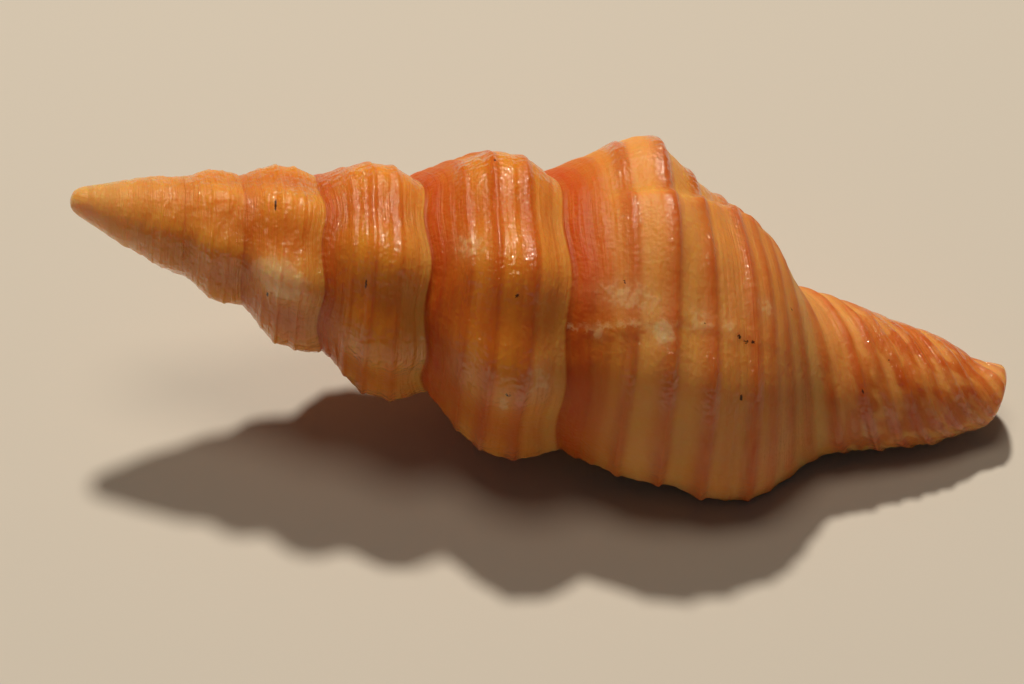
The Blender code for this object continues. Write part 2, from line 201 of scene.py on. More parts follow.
def cord_places(t):
    """The steps u of all cords at growth turns t, one row for each turn."""
    moved = ease(t, *CORD_SHIFT_TURNS)[..., None]
    whorl = np.array(EARLY_CORDS) * (1 - moved) + np.array(LATE_CORDS) * moved
    below = np.broadcast_to(BASE_CORDS, whorl.shape[:-1] + (len(BASE_CORDS),))
    return np.concatenate([whorl, below], -1)


def cords_at(t, u, half_width):
    """The cords as ridges, each with its own strength: a sum of exp(-(distance / width)^2), with
    one width above the crest and another below it."""
    centres = cord_places(t)
    total = 0.0
    for k, strength in enumerate(CORD_STRENGTHS):
        off = (u - centres[..., k]) / half_width
        total = total + strength * np.exp(-((off / np.where(off < 0, SLOW_SIDE, STEEP_SIDE)) ** 2))
    return total


def drift(t, u):
    """How far the cords stray from their even places, in steps: a sum of two sine waves."""
    return 0.006 * np.sin(9.1 * t + 5 * u) + 0.004 * np.sin(23.7 * t + 11 * u)


print(sum(strength > 0 for strength in CORD_STRENGTHS), "cords")

# %% [markdown]
# ## The form of the shell
# The distance of the surface from the axis is built in steps. The whorl has a girth that grows
# with t, times a form that depends on u: round on the spire, and drawn in below on the last
# turn. Just under a suture the surface leans on the whorl above. The canal is added with a
# soft maximum, the seventh root of a sum of seventh powers, which leaves no crease.

# %% Girth, whorl form and canal
GIRTH = ((-0.5, 0.75), (0.75, 1.3), (1.75, 1.9), (2.75, 2.54), (3.25, 2.96), (3.75, 3.37),
         (4.25, 4.04), (4.75, 4.41), (5.25, 5.47), (5.75, 6), (6.25, 7.04), (6.75, 8.23),
         (7.25, 9.06), (7.5, 9.65), (7.75, 10.5), (8, 9.9), (8.25, 9.55))
SPIRE_FORM = ((0, 1), (0.62, 1), (0.72, 0.995), (0.85, 0.965), (1, 0.92), (1.13, 0.86), (1.3, 0.77),
              (1.5, 0.68), (1.7, 0.5), (1.95, 0.3), (2.6, 0.1), (6, 0.05))
BODY_FORM = ((0, 1), (0.3, 0.985), (0.5, 1.0), (0.58, 0.985), (0.66, 0.94), (0.8, 0.87), (0.9, 0.838),
             (1, 0.82), (1.13, 0.785), (1.3, 0.715), (1.42, 0.63), (1.5, 0.52), (1.6, 0.385), (1.7, 0.32),
             (1.8, 0.285), (2.2, 0.15), (2.6, 0.08), (6, 0.05))
LIP_FORM = ((0, 1), (0.3, 1.02), (0.5, 1), (0.65, 0.99), (0.8, 1.025), (0.94, 1.01), (1.06, 0.975),
            (1.12, 0.94), (1.19, 0.865), (1.27, 0.755), (1.35, 0.62), (1.43, 0.505), (1.52, 0.42),
            (1.65, 0.35), (2.2, 0.14), (6, 0.05))
# How much fuller than the form the whorl is just above the next suture, on the early whorls.
SUTURE_FILL = ((1.5, 0.2), (2.5, 0.14), (3.5, 0.08), (4.75, 0.03), (5.25, 0.08), (5.75, 0.01),
               (6.25, 0.0), (6.75, 0.0), (7.25, 0.0))
JOIN_REACH, JOIN_POWER = 0.56, 1.45
# The valley at a suture of the spire rises by a share of the whorl height, over a step of u.
VALLEY_RISE, VALLEY_STEP, EARLY_VALLEY = 0.03, 0.1, 1.5
# Radius of the worn apex against the square root of the distance from its top, both in mm.
DOME_TOP = 0.12
DOME_FORM = ((0, 0), (0.35, 0.5), (0.75, 0.87), (1.06, 1.1), (1.4, 1.42), (2.0, 2.12), (3, 3.4))
CANAL = ((35, 3.6), (43.9, 4.1), (47.6, 4.55), (49.5, 4.65), (51.4, 4.26), (53.3, 3.95), (55.2, 3.5),
         (56.1, 3.25), (57.1, 2.8), (58, 2.4), (59, 2.15), (60, 1.85))
CANAL_LEAN = ((38, 0.0), (44, 0.0), (46.5, 0.03), (49.5, 0.12), (51.4, 0.12), (53.3, 0.11), (55.2, 0.07),
              (57.5, 0.06), (58.5, -0.04), (60, -0.3))


def bulge(t, u, ribbed):
    """Girth times form, times 1 plus the rib height."""
    to_body, to_lip = ease(t, 7.3, 7.75), ease(t, 7.78, 8.244)
    fill = 1 + curve(t, SUTURE_FILL) * ease(u, 0.62, 1.0)
    form = curve(u, SPIRE_FORM) * fill * (1 - to_body) + curve(u, BODY_FORM) * to_body * (1 - to_lip)
    return curve(t, GIRTH) * (form + curve(u, LIP_FORM) * to_lip) * (1 + ribbed * rib(t, u))


def worn_dome(s):
    """Radius of the worn apex at distance s along the axis: a curve of the root of the distance."""
    return curve(np.sqrt(np.clip(s + DOME_TOP, 0, 9)), DOME_FORM)


def valley(t, u):
    """Rise of the valley at the sutures above and below a place, mm, only on the spire: a bell
    curve, but on the early whorls exp(-distance), whose point fills the crease of the suture."""
    def rise(turn, far):
        early, off = 1 - ease(turn, 4.8, 6.0), abs(far) / VALLEY_STEP
        profile = early * EARLY_VALLEY * np.exp(-off) + (1 - early) * np.exp(-off * off)
        return VALLEY_RISE * height(turn) * (1 - ease(turn, 5.8, 7.4)) * profile
    return rise(t, u) + rise(t + 1, (1 - u) * height(t) / height(t + 1))


def covered(t, u):
    """1 where the glaze beside the mouth lies over the ribs and cords, 0 elsewhere."""
    return ease(u, 1.0, 1.12) * (1 - ease(t - MOUTH_TURN, 0.05, 0.2))


def smooth_radius(t, u, ribbed=1.0):
    """Radius in mm of the shell without its cords, at growth turn t and step u."""
    s = suture(t) + u * height(t)
    past_mouth = t - MOUTH_TURN
    join = 1 - (1 - np.clip(u / JOIN_REACH, 0, 1)) ** JOIN_POWER
    above = bulge(t - 1, np.ones_like(u), ribbed)
    r = above * (1 - join) + bulge(t, u, ribbed * (1 - covered(t, u))) * join + valley(t, u)
    lean = curve(s, CANAL_LEAN) * np.cos(np.radians(360 * t - 100))
    gutter = 0.5 * (1 - ease(past_mouth, 0.02, 0.17))
    canal = curve(s, CANAL) * (1 + lean) * (1 - gutter) * ease(s, 35, 41)
    r = (r ** 7 + canal ** 7) ** (1 / 7)
    whorled = ease(s, 1.6, 3.8)
    return worn_dome(s) * (1 - whorled) + r * whorled


print("greatest radius, mm:", round(float(smooth_radius(np.array([7.795]), np.array([0.5]))[0]), 2))

# %% [markdown]
# ## Marks of the snail's life
# The last whorl has a scar, where the lip once broke and was mended: a thin raised line across
# the cords. The cords beyond it are narrower and lie a step lower.
# The suture is not a clean helix either. It waves down over each rib of the whorl above.

# %% Fold, scar, suture wave and uneven cords
SCAR_LINE = ((0, 8.031), (0.3, 8.01), (0.6, 7.989), (1.05, 7.99), (1.4, 7.995), (1.9, 8.0))
SCAR_HEIGHT, SCAR_DROP = 0.14, 0.10
FOLD_LINE = ((0, 7.868), (0.55, 7.863), (0.75, 7.845), (0.97, 7.824), (1.12, 7.817), (1.3, 7.832),
             (1.5, 7.86))
FOLD_RISE, FOLD_TROUGH, FOLD_EDGE, FOLD_REACH = 0.42, 0.30, 0.0025, 0.03
WAVE_DEPTH = 3.4
RIM_HEIGHT, GROOVE_DEPTH, RIM_HALF_WIDTH = 0.06, 0.08, 0.014


def step_at(x, width):
    """A smooth step from 0 to 1 across x = 0, as the logistic function."""
    return 1 / (1 + np.exp(-np.clip(x / width, -40, 40)))


def fold(t, u):
    """The older side of one rib: a trough, then a step up that dies away along the rib, mm."""
    past = t - curve(u, FOLD_LINE)
    along = ease(u, 0.15, 0.42) * (1 - ease(u, 1.15, 1.45))
    up = FOLD_RISE * step_at(past, FOLD_EDGE) * np.exp(-np.clip(past, 0, 1) / FOLD_REACH)
    down = -FOLD_TROUGH * np.exp(-((past / FOLD_REACH) ** 2)) * (1 - step_at(past, FOLD_EDGE))
    return along * (up + down)


def scar(t, u):
    """The mended break, mm: a thin ridge along a wavy line, then a step down that dies away."""
    past = t - curve(u, SCAR_LINE) - 0.0025 * np.sin(37 * u) - 0.0015 * np.sin(91 * u)
    along = ease(u, 0.0, 0.15) * (1 - ease(u, 1.0, 1.3)) * ease(t, 7.8, 7.9)
    ridge = SCAR_HEIGHT * np.exp(-((past / 0.004) ** 2))
    lower = -SCAR_DROP * step_at(past, 0.002) * np.exp(-np.clip(past, 0, 1) / 0.05)
    return along * (ridge + lower)


def wave(t):
    """How far the suture at t dips over the ribs of the whorl above, mm: a share of their swell."""
    return WAVE_DEPTH * (rib_swell(t - 1) - 0.05) * ease(t, 4.0, 7.0)


def along_axis(t, u):
    """Distance from the apex, mm: the suture, plus u whorl heights, plus its own wave."""
    below = ease(u, 0.6, 1.0) * (1 - ease(u, 1.0, 1.4)) * (1 - ease(t, MOUTH_TURN, MOUTH_TURN + 0.1))
    return suture(t) + u * height(t) + wave(t) * (1 - ease(u, 0, 0.4)) + wave(t + 1) * below


def relief(t, u):
    """Cords in mm, higher with the whorls and on the ribs, and threads: three waves to a cord."""
    strayed = u + drift(t, u)
    after_scar = ease(t - curve(u, SCAR_LINE), 0, 0.01) * ease(t, 7.8, 7.9)
    size = CORD_HEIGHT * (0.25 * ease(t, 1.8, 3.2) + 0.75 * ease(t, 3.2, 7.6))
    size = size * (1 - 0.5 * ease(suture(t) + u * height(t), 56, LENGTH))
    size = size * (1 + 0.35 * ease(t, 7.7, 7.9))
    size = size * (0.8 + 2.2 * rib(t, u))
    cords = cords_at(t, strayed, CORD_HALF_WIDTH * (1 - 0.3 * after_scar))
    count = cord_count(t, strayed)
    threads = (0.5 - 0.5 * np.cos(6 * np.pi * count)) * np.sin(np.pi * count) ** 2
    return (1 - covered(t, u)) * (size * cords + THREAD_HEIGHT * ease(t, 4.0, 7.4) * threads)


def rim(t, u):
    """A thin rim just above each of the later sutures and a groove just below it, mm: two bells."""
    above = RIM_HEIGHT * np.exp(-(((u - 0.975) / RIM_HALF_WIDTH) ** 2))
    below = -GROOVE_DEPTH * np.exp(-(((u - 0.018) / RIM_HALF_WIDTH) ** 2))
    return above * ease(t, 4.6, 6.2) * (1 - ease(t, 7.2, 7.3)) + below * ease(t, 5.6, 7.2)


def lumps(t, u):
    """Slow unevenness of the whole surface, up to 0.06 mm: the sum of three crossed sine waves."""
    waves = np.sin(41 * t + 6 * u) + np.sin(17 * t - 13 * u) + np.sin(67 * t + 21 * u)
    return 0.02 * ease(t, 1, 4) * waves


print("greatest height of the fold, mm:", round(float(fold(np.linspace(7.8, 8, 401), 0.7).max()), 2))

# %% [markdown]
# ## Where it lies
# The shell lies on the last whorl's lip side, the mouth down and the canal's end low. Three
# directions do it: along the axis, to the side, and up from the axis. The CAD model centres
# the shell over the origin and rubs its lowest places flat, and this one does the same.

# %% From the shell's own numbers to points in space
DIP, SWING, TOP_ANGLE = math.radians(14.24), math.radians(-3.54), -43.42
TIP_HEIGHT = 2.22
CENTRING = np.array([28.8251, -1.7134, TIP_HEIGHT])
ALONG = np.array([math.cos(DIP) * math.cos(SWING), math.cos(DIP) * math.sin(SWING), -math.sin(DIP)])
SIDE = np.array([math.sin(SWING), -math.cos(SWING), 0.0])
TOP = np.cross(SIDE, ALONG)


def place(t, s, r):
    """Points in mm: s along the axis, and r away from it in the direction of growth turn t."""
    turn = np.radians(360 * np.asarray(t, float) - TOP_ANGLE)[..., None]
    s, r = np.asarray(s, float)[..., None], np.asarray(r, float)[..., None]
    return (s - LENGTH) * ALONG + r * (np.cos(turn) * TOP + np.sin(turn) * SIDE) + CENTRING


def outside(t, u):
    """Points of the outside at growth turns t and steps u, with all their relief."""
    t, u = np.broadcast_arrays(np.asarray(t, float), np.asarray(u, float))
    r = smooth_radius(t, u) + relief(t, u) + fold(t, u) + scar(t, u) + rim(t, u) + lumps(t, u)
    return place(t, along_axis(t, u), r)


print("apex at, mm:", place(0.0, 0.0, 0.0).round(1))

# %% [markdown]
# ## The grid
# The strip between two sutures is one long grid, rows along t and columns along u. Its lower
# edge is joined to its own upper edge one turn later, so those two share vertices. The early
# whorls are tiny, so they get half as many rows, and one line of triangles joins two rows of
# the fine part to each of theirs. Below the last suture the grid goes on to the canal's end.

# %% Rows and columns
FINE_ROWS, COARSE_ROWS, FINE_TURN = 136, 68, 3.244
COLUMNS, BASE_STEPS, CANAL_COLUMNS = 64, 36, 76
# The share of a whorl's columns that lies above each of its cords.
CORD_SHARES = (0, 0.09, 0.21, 0.34, 0.55, 0.79, 0.91, 1)
EDGE_DEPTH, END_SLANT, PIT_DEPTH = 0.25, 0.15, 0.9
whorl_count = np.interp(np.arange(COLUMNS + 1) / COLUMNS, CORD_SHARES, np.arange(len(CORD_SHARES)))


def canal_end(t):
    """Distance of the canal's end from the apex, mm: 0.3 mm less on its lower side than on top."""
    return LENGTH - END_SLANT * (1 + np.cos(np.radians(360 * t - 90)))


def columns_at(t):
    """The steps u of the columns of a whorl: each keeps its number of cords from the suture."""
    places = cord_places(np.asarray(t, float))[..., :len(EARLY_CORDS)]
    whole = np.minimum(whorl_count.astype(int), len(EARLY_CORDS) - 2)
    part = whorl_count - whole
    return places[..., whole] * (1 - part) + places[..., whole + 1] * part


coarse_t = FINE_TURN - np.arange(int(FINE_TURN * COARSE_ROWS), -1, -1) / COARSE_ROWS
fine_t = FINE_TURN + np.arange(5 * FINE_ROWS + 1) / FINE_ROWS
last_t = fine_t[-FINE_ROWS - 1:]
coarse_u, fine_u = columns_at(coarse_t), columns_at(fine_t)
base_u = np.linspace(1.0, 1.64, BASE_STEPS + 1)
tip_u = (canal_end(last_t) - EDGE_DEPTH - suture(last_t)) / height(last_t)
canal_u = base_u[-1] + (tip_u[:, None] - base_u[-1]) * np.arange(1, CANAL_COLUMNS + 1) / CANAL_COLUMNS
below_u = np.hstack([np.broadcast_to(base_u, (len(last_t), len(base_u))), canal_u])
print("rows", len(coarse_t) + len(fine_t), "columns", fine_u.shape[1], "and below", below_u.shape[1])


# %% A store for points and faces
class Store:
    """Collects points, faces and what each point knows about itself, as whole arrays."""

    def __init__(self):
        self.spots, self.facts, self.faces, self.face_uv, self.count = [], [], [], [], 0

    def put(self, spots, t, u, inside=0.0):
        """Adds an array of points, with their t, u and how far inside they are; returns numbers."""
        shape = spots.shape[:-1]
        parts = [np.broadcast_to(np.asarray(part, float), shape).ravel() for part in (t, u, inside)]
        self.spots.append(spots.reshape(-1, 3))
        self.facts.append(np.stack(parts, 1))
        ids = self.count + np.arange(int(np.prod(shape))).reshape(shape)
        self.count += ids.size
        return ids

    def join(self, corners, strip=None):
        """Adds faces as an array of corner numbers, with the strip's own (t, u) at each corner."""
        flat = corners.reshape(-1, corners.shape[-1])
        known = np.concatenate(self.facts)[flat, :2] if strip is None else strip
        self.faces.append(flat)
        self.face_uv.append(known.reshape(*flat.shape, 2))


def grid_faces(ids):
    """Four corners for each cell of a grid of numbers."""
    return np.stack([ids[:-1, :-1], ids[1:, :-1], ids[1:, 1:], ids[:-1, 1:]], -1)


def grid_strip(t, u):
    """(t, u) at the four corners of each cell, from the grid's own rows and columns."""
    both = np.stack(np.broadcast_arrays(t, u), -1)
    return np.stack([both[:-1, :-1], both[1:, :-1], both[1:, 1:], both[:-1, 1:]], -2)


def halve(many, few):
    """Triangles between a line of 2n + 1 numbers and a line of n + 1: three to each pair."""
    a, b, c, p, q = many[:-2:2], many[1::2], many[2::2], few[:-1], few[1:]
    return np.concatenate([np.stack(three, -1) for three in ((a, p, b), (b, p, q), (b, q, c))])


# %% Build the whorls
store = Store()
fine_ids = np.empty(fine_u.shape, int)
fine_grid = np.broadcast_to(fine_t[:, None], fine_u.shape)
own = np.s_[:, :COLUMNS]
fine_ids[own] = store.put(outside(fine_grid, fine_u)[own], fine_grid[own], fine_u[own])
fine_ids[:-FINE_ROWS, COLUMNS] = fine_ids[FINE_ROWS:, 0]
fine_ids[-FINE_ROWS:, COLUMNS] = store.put(outside(last_t[1:], np.ones(FINE_ROWS)), last_t[1:], 1.0)
store.join(grid_faces(fine_ids), grid_strip(fine_grid, fine_u))

coarse_ids = np.empty(coarse_u.shape, int)
coarse_grid = np.broadcast_to(coarse_t[:, None], coarse_u.shape)
own = np.s_[:-1, :COLUMNS]
coarse_ids[own] = store.put(outside(coarse_grid, coarse_u)[own], coarse_grid[own], coarse_u[own])
coarse_ids[-1, :COLUMNS] = fine_ids[0, :COLUMNS]
coarse_ids[:-COARSE_ROWS, COLUMNS] = coarse_ids[COARSE_ROWS:, 0]
split = len(coarse_t) - COARSE_ROWS - 1
coarse_ids[split:, COLUMNS] = fine_ids[:FINE_ROWS + 1:2, 0]
for part in (np.s_[:split + 1], np.s_[split:, :COLUMNS]):
    store.join(grid_faces(coarse_ids[part]), grid_strip(coarse_grid[part], coarse_u[part]))
store.join(halve(fine_ids[:FINE_ROWS + 1, 0], coarse_ids[split:, COLUMNS - 1]))

below_ids = np.empty(below_u.shape, int)
below_ids[:, 0] = fine_ids[-FINE_ROWS - 1:, COLUMNS]
last_grid = np.broadcast_to(last_t[:, None], below_u.shape)
below_ids[:, 1:] = store.put(outside(last_grid, below_u)[:, 1:], last_grid[:, 1:], below_u[:, 1:])
store.join(grid_faces(below_ids), grid_strip(last_grid, below_u))
print("points so far:", store.count)

# %% [markdown]
# ## Apex and canal end
# The apex is worn to a low dome. Seen along the axis, the grid leaves a hole there with a
# straight step in its edge. Copies of that edge shrink towards a place beside the axis, where
# none of them folds, and each is lifted on to the dome again. The canal ends bluntly and a
# little aslant: a rounded edge, then a shallow dent.

# %% Close the apex
CAP_CENTRE, CAP_SHARES = -0.3, (0.8, 0.58, 0.36, 0.16)
# The edge is the first turn of the suture and then the first row, back to where it began. It is
# held flat as complex numbers, x + iy across the axis, which scale and turn by a product.
first_turn = slice(COARSE_ROWS + 1)
back_u = coarse_u[0, COLUMNS - 1:0:-1]
edge = np.append(coarse_ids[first_turn, 0], coarse_ids[0, COLUMNS - 1:0:-1])
edge_t = np.append(coarse_t[first_turn], np.full(COLUMNS - 1, coarse_t[0]))
edge_s = np.append(suture(coarse_t[first_turn]), suture(coarse_t[0]) + back_u * height(coarse_t[0]))
edge_flat = worn_dome(edge_s) * np.exp(2j * np.pi * edge_t)
centre = CAP_CENTRE * 1j * np.exp(2j * np.pi * coarse_t[0])
cap_flat = centre + (edge_flat - centre) * np.array(CAP_SHARES + (0.0,))[:, None]
known_s = np.linspace(-DOME_TOP, 2, 400)
cap_s = np.interp(abs(cap_flat), worn_dome(known_s), known_s)
cap_spots = place(np.angle(cap_flat) / (2 * np.pi), cap_s, abs(cap_flat))
cap_rows = np.vstack([edge, store.put(cap_spots[:-1], edge_t, 0.0)])
cap_rows = np.hstack([cap_rows, cap_rows[:, :1]])
store.join(grid_faces(cap_rows))
crown = store.put(cap_spots[-1, :1], 0.0, 0.0)
ring = cap_rows[-1]
store.join(np.stack([ring[1:], ring[:-1], np.broadcast_to(crown, ring[1:].shape)], -1))
print("the apex is closed by", len(CAP_SHARES), "rings of", len(edge), "points")

# %% Close the canal's end
END_DEPTHS, END_SHARES = (0.12, 0.03, 0.0, 0.08, 0.5), (0.985, 0.93, 0.84, 0.66, 0.4)
end_s = canal_end(last_t)
end_u = (end_s - suture(last_t)) / height(last_t)
end_r = smooth_radius(last_t, end_u)
end_rows = [below_ids[:, -1]]
for depth, share in zip(END_DEPTHS, END_SHARES):
    middle = ease(1 - share, 0.1, 0.5)
    s = (end_s - depth) * (1 - middle) + (LENGTH - END_SLANT - depth) * middle
    end_rows.append(store.put(place(last_t, s, end_r * share), last_t, end_u))
end_rows = np.stack(end_rows, 1)
store.join(grid_faces(end_rows))
pit = store.put(place(np.zeros(1), [LENGTH - PIT_DEPTH], [0.0]), LAST_TURN, end_u[-1])
store.join(np.stack([end_rows[:-1, -1], end_rows[1:, -1], np.broadcast_to(pit, len(last_t) - 1)], -1))
print("radius of the canal's end, mm:", round(float(end_r.mean()), 2))

# %% [markdown]
# ## The mouth
# The mouth is the open end of the tube: the lip on one side, the older whorl on the other, and
# the open gutter of the canal below. Its edge is one closed loop. Copies of that loop, each
# further back along the spiral and shrunk by the thickness of the wall, line the hollow. Fine
# threads run in along the outer wall, and three weak folds wind round the pillar.

# %% Line the hollow
MOUTH_DEPTH = 2.6
# Lirae are the threads inside the lip, pleats the folds on the pillar: steps, half width, height.
LIRAE, LIRA_HALF_WIDTH, LIRA_HEIGHT = np.arange(0.16, 1.5, 0.083), 0.02, 0.10
PLEATS, PLEAT_HALF_WIDTH, PLEAT_HEIGHT = (0.78, 0.93, 1.08), 0.035, 0.22


def hollow(back, v, far):
    """Points of the lining, back turns behind the lip, v from its top to its end: the outer wall
    where far is 1, the pillar side where it is 0. The gap between them has a rounded section."""
    t = LAST_TURN - back
    inside = ease(back, 0.0, 0.16)
    start = suture(t) + 0.09 * height(t) * ease(back, 0, 0.03)
    end = (LENGTH - 1.2) * (1 - inside) + (suture(t) + 1.55 * height(t)) * inside
    wall = (0.55 + 0.45 * ease(back, 0, 0.06)) * (1 - 0.35 * ease(back, 0.5, MOUTH_DEPTH))
    shut = 1 - 0.7 * ease(back, MOUTH_DEPTH - 0.3, MOUTH_DEPTH)
    s = start + (end - start) * v
    old_u, new_u = (s - suture(t - 1)) / height(t - 1), (s - suture(t)) / height(t)
    floor = np.maximum(smooth_radius(t - 1, old_u, 0.0), 0.2 * curve(t, GIRTH) * inside)
    roof = smooth_radius(t, new_u, 0.0) - wall
    pleats = PLEAT_HEIGHT * ridges(new_u, PLEATS, PLEAT_HALF_WIDTH) * ease(back, 0.01, 0.05)
    threads = LIRA_HEIGHT * ridges(new_u, LIRAE, LIRA_HALF_WIDTH)
    threads = threads * ease(back, 0.02, 0.06) * (1 - ease(back, 0.5, 0.9))
    floor = floor + pleats * (1 - far)
    q = 0.01 + 0.98 * v
    gap = np.maximum(roof - floor, 0.08) * (1 - (2 * q - 1) ** 8) ** 0.5 * shut
    return place(t, s, floor + np.maximum(gap - threads, 0.05) * far)


lip_line = np.concatenate([fine_ids[-1, :COLUMNS], below_ids[-1], end_rows[-1, 1:], pit])
inner_line = np.concatenate([end_rows[0, :0:-1], below_ids[0, :0:-1]])
lip_u = np.concatenate([fine_u[-1, :COLUMNS], below_u[-1]])
lip_s = suture(LAST_TURN) + lip_u * height(LAST_TURN)
inner_s = suture(MOUTH_TURN) + below_u[0, :0:-1] * height(MOUTH_TURN)
lip_v = np.append((lip_s - lip_s[0]) / (LENGTH - lip_s[0]), 0.996 + 0.0008 * np.arange(6))
inner_v = np.append(0.999 - 0.0006 * np.arange(5), (inner_s - lip_s[0]) / (LENGTH - lip_s[0]))
loop = np.append(lip_line, inner_line)
loop_v = np.append(lip_v, inner_v)
far = np.append(np.ones(len(lip_v)), np.zeros(len(inner_v)))
print("loop of the mouth:", len(loop), "points")

near_backs = np.array([0.003, 0.008, 0.016, 0.028, 0.045])[:, None]
deep_backs = np.arange(0.065, MOUTH_DEPTH, 1 / 30)[:, None]
near_ids = store.put(hollow(near_backs, loop_v, far), LAST_TURN - near_backs, 0.5, 1.0)
near_rows = np.vstack([loop, near_ids])
near_rows = np.hstack([near_rows, near_rows[:, :1]])
store.join(grid_faces(near_rows))
few = slice(None, None, 2)
deep_ids = store.put(hollow(deep_backs, loop_v[few], far[few]), LAST_TURN - deep_backs, 0.5, 1.0)
deep_rows = np.hstack([deep_ids, deep_ids[:, :1]])
store.join(halve(near_rows[-1], deep_rows[0]))
store.join(grid_faces(deep_rows))
back_wall = deep_ids[-1]
half = len(back_wall) // 2
end_cap = np.stack([back_wall[:half], back_wall[:-half - 1:-1]], 1)
store.join(grid_faces(end_cap)[..., ::-1])

# %% [markdown]
# ## The mesh
# Everything goes into one mesh in metres, since Blender and the CAD frame count in metres.
# A face is turned to point outwards by the sign of the volume of the closed body. Each point
# keeps what the finish needs to know: the rib, the cord, the depth of the suture and so on.

# %% Make the shell
spots = np.concatenate(store.spots)
turn, step, within = np.concatenate(store.facts).T
spots = np.clip(spots, cad_low, cad_high)
quads, threes = (np.concatenate([part for part in store.faces if part.shape[1] == n]) for n in (4, 3))
strip = np.concatenate([part.reshape(-1, 2)
                        for n in (4, 3) for part in store.face_uv if part.shape[1] == n])
corners = np.concatenate([quads.ravel(), threes.ravel()])
totals = np.concatenate([np.full(len(quads), 4), np.full(len(threes), 3)])
starts = np.concatenate([[0], np.cumsum(totals)[:-1]])

mesh = bpy.data.meshes.new("fine_shell")
mesh.vertices.add(len(spots))
mesh.vertices.foreach_set("co", (spots / 1000).ravel())
mesh.loops.add(len(corners))
mesh.loops.foreach_set("vertex_index", corners)
mesh.polygons.add(len(totals))
mesh.polygons.foreach_set("loop_start", starts)
mesh.polygons.foreach_set("use_smooth", np.ones(len(totals), bool))
uv = mesh.uv_layers.new(name="strip")
uv.data.foreach_set("uv", np.stack([strip[:, 0], cord_count(*strip.T)], 1).ravel())
mesh.update(calc_edges=True)

a, b, c, d = (spots[quads[:, k]] for k in range(4))
volume = (np.einsum("ij,ij->", a, np.cross(b, c)) + np.einsum("ij,ij->", a, np.cross(c, d))) / 6
print("quads", len(quads), "triangles", len(threes), "in all", 2 * len(quads) + len(threes), "triangles")
print("volume from the quads, mm3:", round(float(volume)))
if volume < 0:
    mesh.flip_normals()

# %% [markdown]
# ## What each point knows
# A shell's colours are laid down by the snail along the same strip as its ribs and cords, so the
# finish needs to know where a point is on it. Each measure below is 0 to 1 and is kept with the
# point: how far up a rib it is, on a cord, in the stained band below a suture, and so on. The
# white places are ovals round their own places on the strip: some are worn or mended shell, and
# some are painted highlights and sheen on rib nodes and beside the mended break.

# %% Measures for the finish
# Pale places, worn or mended shell and partly painted highlights and sheen, as growth turn, step, half
# width in turns and in steps, strength.
WORN_AND_SHEEN_PLACES = ((8.005, 0.51, 0.013, 0.065, 1.0), (7.95, 1.13, 0.014, 0.07, 0.55),
               (7.978, 0.30, 0.02, 0.24, 0.6), (7.985, 0.72, 0.016, 0.10, 0.55),
               (7.985, 0.88, 0.013, 0.07, 0.5), (8.02, 0.16, 0.008, 0.05, 0.7),
               (7.12, 0.60, 0.02, 0.05, 0.6), (7.085, 0.81, 0.025, 0.1, 0.6),
               (6.955, 0.27, 0.02, 0.13, 0.6), (5.06, 0.47, 0.042, 0.42, 0.9))
ovals_kept = np.zeros_like(turn)
for at_turn, at_step, wide, tall, strength in WORN_AND_SHEEN_PLACES:
    far_off = ((turn - at_turn) / wide) ** 2 + ((step - at_step) / tall) ** 2
    ovals_kept = np.maximum(ovals_kept, strength * np.exp(-far_off ** 1.5))

uncovered = (1 - covered(turn, step)) * (1 - within)
over_base = ease(step, 1.0, 1.25)
on_last = ease(turn, 7.3, 7.7)
band_reach = 0.09 + 0.07 * ease(turn, 5.0, 7.0) - 0.02 * on_last
rib_share = np.clip(rib_swell(turn) / (0.115 - 0.03 * on_last), 0, 1)
cord_share = np.clip(cords_at(turn, step + drift(turn, step), 0.048 - 0.010 * over_base), 0, 1)
measures = {
    "rib": rib_share * ease(step, 0.02, 0.35) * (1 - over_base),
    "cord": cord_share * ease(turn, 4.5, 7.4),
    "stain": np.exp(-((step / band_reach) ** 2)) * ease(turn, 4.0, 7.0),
    "pale": 0.7 * ease(step, 0.6, 0.97) * (1 - on_last) * ease(turn, 3.5, 6.5) + over_base
            + on_last * (1 - over_base) * ease(step, 0.08, 0.4) * 0.85,
    "along": (suture(turn) + step * height(turn)) / LENGTH,
    "canal": ease(suture(turn) + step * height(turn), 48, 51),
    # The worn measure is partly worn shell and partly painted highlights and sheen.
    "worn": ovals_kept,
    "lining": within,
    "glaze": covered(turn, step),
}
EVERYWHERE = ("along", "lining", "glaze")
for name, values in measures.items():
    layer = mesh.attributes.new(name, "FLOAT", "POINT")
    layer.data.foreach_set("value", values * (1 if name in EVERYWHERE else uncovered))
    print(name, "mean", round(float(values.mean()), 3))

# %% The object, on its body and in place of the CAD solid
shell = bpy.data.objects.new("fine_shell", mesh)
bpy.context.scene.collection.objects.link(shell)
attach(shell, "root")
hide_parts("shell")
print(shell.name, "has", len(mesh.vertices), "points")


# %% [markdown]
# ## Colours and nodes
# Colours are written as on a colour picker and turned to the linear values that light adds up
# in. One helper makes every node: it takes the node's kind, its inputs and its settings. Where
# the inputs of a MapRange come in order, they are the value, its low and high ends, and what
# those two become.

# %% Colours and a helper for nodes
def colour(text):
    """sRGB hex to linear: v / 12.92 up to 0.04045, else ((v + 0.055) / 1.055) to the power 2.4."""
    v = np.array([int(text[k:k + 2], 16) for k in (1, 3, 5)]) / 255
    return (*np.where(v <= 0.04045, v / 12.92, ((v + 0.055) / 1.055) ** 2.4).tolist(), 1.0)


